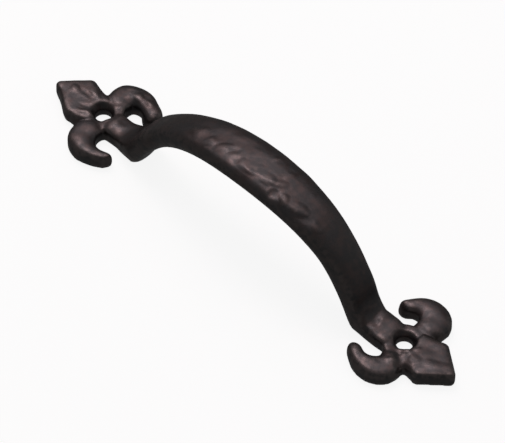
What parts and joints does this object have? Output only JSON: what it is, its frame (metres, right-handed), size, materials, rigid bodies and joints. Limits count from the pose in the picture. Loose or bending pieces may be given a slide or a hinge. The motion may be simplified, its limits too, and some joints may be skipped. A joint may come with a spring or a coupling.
{
  "type": "grab handle",
  "caption": "Cast bow handle with a swelling domed grip on straps that end in fleur-de-lis plates with countersunk screw holes.",
  "frame": {"origin": "on the flat back, midway between the centres of the screw holes", "axes": "+X along the handle towards its right end, +Y across it towards its far side, +Z out of the surface it is screwed to"},
  "size_m": [0.1983, 0.0428, 0.0448],
  "materials": {
    "black_iron": "satin black antique finish with a brown cast, over a hand-hammered surface"
  },
  "bodies": {
    "root": {"grab_handle": "black_iron"}
  },
  "joints": []
}
